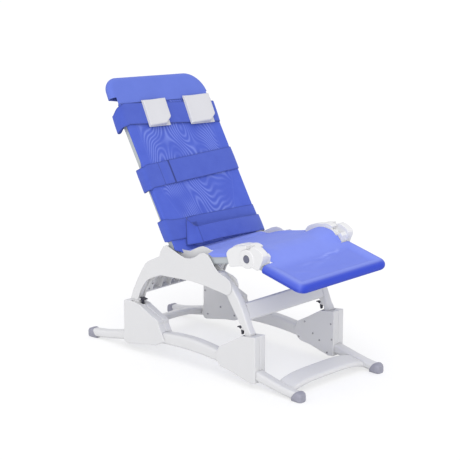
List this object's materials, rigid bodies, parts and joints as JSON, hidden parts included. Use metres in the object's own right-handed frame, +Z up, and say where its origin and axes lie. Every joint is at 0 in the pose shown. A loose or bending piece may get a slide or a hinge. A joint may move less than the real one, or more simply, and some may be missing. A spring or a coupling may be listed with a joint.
{
  "type": "paediatric bath chair",
  "caption": "Low reclining bath chair for a child, with fabric seat, back and calf rest on tubes, a white arched base and a stand with bowed rails.",
  "frame": {"origin": "on the floor, at the middle of the stand's four feet", "axes": "+Z up, the chair faces -Y, and the occupant's left is +X"},
  "size_m": [0.4602, 1.0141, 0.9385],
  "materials": {
    "white_plastic": "satin",
    "grey_tube": "satin grey coating",
    "grey_rubber": "matte",
    "black_plastic": "matte",
    "button_grey": "satin",
    "dark_steel": "satin",
    "blue_fabric": "matte",
    "blue_mesh": "matte net",
    "blue_webbing": "matte"
  },
  "bodies": {
    "stand": {"rail_right": "white_plastic", "rail_foot_front_right": "grey_rubber", "cup_outer_front_right": "white_plastic", "cup_inner_front_right": "white_plastic", "cup_gasket_front_right": "grey_rubber", "rail_foot_rear_right": "grey_rubber", "cup_outer_rear_right": "white_plastic", "cup_inner_rear_right": "white_plastic", "cup_gasket_rear_right": "grey_rubber", "rail_left": "white_plastic", "rail_foot_front_left": "grey_rubber", "cup_outer_front_left": "white_plastic", "cup_inner_front_left": "white_plastic", "cup_gasket_front_left": "grey_rubber", "rail_foot_rear_left": "grey_rubber", "cup_outer_rear_left": "white_plastic", "cup_inner_rear_left": "white_plastic", "cup_gasket_rear_left": "grey_rubber", "cross_member_front": "white_plastic", "cross_member_rear": "white_plastic"},
    "chair_base": {"front_leg_right": "white_plastic", "rear_leg_right": "white_plastic", "arch_outer_right": "white_plastic", "arch_inner_right": "white_plastic", "back_pivot_pin_right": "dark_steel", "seat_pivot_pin_right": "dark_steel", "front_leg_left": "white_plastic", "rear_leg_left": "white_plastic", "arch_outer_left": "white_plastic", "arch_inner_left": "white_plastic", "back_pivot_pin_left": "dark_steel", "seat_pivot_pin_left": "dark_steel", "front_beam": "white_plastic", "rear_beam": "white_plastic"},
    "seat_frame": {"seat_tube_right": "grey_tube", "seat_tube_left": "grey_tube", "seat_cross_tube": "grey_tube", "knee_hub_seat_right": "white_plastic", "knee_hub_seat_left": "white_plastic", "seat_sling": "blue_fabric"},
    "calf_rest": {"calf_frame": "grey_tube", "knee_hub_calf_right": "white_plastic", "knee_hub_calf_left": "white_plastic", "calf_cover": "blue_fabric"},
    "backrest": {"back_frame": "grey_tube", "back_hinge_plate_right": "grey_tube", "back_hinge_plate_left": "grey_tube", "back_sling": "blue_mesh", "back_pocket": "blue_fabric", "head_strap": "blue_webbing", "chest_strap": "blue_webbing", "hip_strap": "blue_webbing"},
    "button_right": {"knee_button_right": "button_grey"},
    "block_right": {"head_block_right": "white_plastic"},
    "lever_front_right": {"latch_front_right": "black_plastic"},
    "lever_rear_right": {"latch_rear_right": "black_plastic"},
    "button_left": {"knee_button_left": "button_grey"},
    "block_left": {"head_block_left": "white_plastic"},
    "lever_front_left": {"latch_front_left": "black_plastic"},
    "lever_rear_left": {"latch_rear_left": "black_plastic"}
  },
  "joints": [
    {"name": "chair_lift", "type": "slide", "parent": "stand", "child": "chair_base", "axis": [0, 0, 1], "range_m": [0, 0.12]},
    {"name": "seat_tilt", "type": "hinge", "parent": "chair_base", "child": "seat_frame", "pos_m": [0, -0.072, 0.389], "axis": [1, 0, 0], "range_deg": [-8, 6]},
    {"name": "calf_angle", "type": "hinge", "parent": "seat_frame", "child": "calf_rest", "pos_m": [0, -0.27922, 0.43608], "axis": [1, 0, 0], "range_deg": [-24, 52]},
    {"name": "back_recline", "type": "hinge", "parent": "chair_base", "child": "backrest", "pos_m": [0, 0.09, 0.37], "axis": [1, 0, 0], "range_deg": [-58, 13]},
    {"name": "button_press_right", "type": "slide", "parent": "calf_rest", "child": "button_right", "axis": [1, 0, 0], "range_m": [0, 0.0035], "stiffness_N_per_m": 400},
    {"name": "button_press_left", "type": "slide", "parent": "calf_rest", "child": "button_left", "axis": [-1, 0, 0], "range_m": [0, 0.0035], "stiffness_N_per_m": 400},
    {"name": "latch_turn_front_right", "type": "hinge", "parent": "chair_base", "child": "lever_front_right", "pos_m": [-0.195, -0.24144, 0.1915], "axis": [1, 0, 0], "range_deg": [0, 15], "stiffness_Nm_per_rad": 0.05},
    {"name": "latch_turn_front_left", "type": "hinge", "parent": "chair_base", "child": "lever_front_left", "pos_m": [0.195, -0.24144, 0.1915], "axis": [1, 0, 0], "range_deg": [0, 15], "stiffness_Nm_per_rad": 0.05},
    {"name": "latch_turn_rear_right", "type": "hinge", "parent": "chair_base", "child": "lever_rear_right", "pos_m": [-0.195, 0.2383, 0.1915], "axis": [-1, 0, 0], "range_deg": [0, 15], "stiffness_Nm_per_rad": 0.05},
    {"name": "latch_turn_rear_left", "type": "hinge", "parent": "chair_base", "child": "lever_rear_left", "pos_m": [0.195, 0.2383, 0.1915], "axis": [-1, 0, 0], "range_deg": [0, 15], "stiffness_Nm_per_rad": 0.05},
    {"name": "block_slide_right", "type": "slide", "parent": "backrest", "child": "block_right", "axis": [0.9969, -0.0396, -0.0677], "range_m": [-0.025, 0.008]},
    {"name": "block_slide_left", "type": "slide", "parent": "backrest", "child": "block_left", "axis": [0.9969, -0.0396, -0.0677], "range_m": [-0.02, 0.02]}
  ]
}
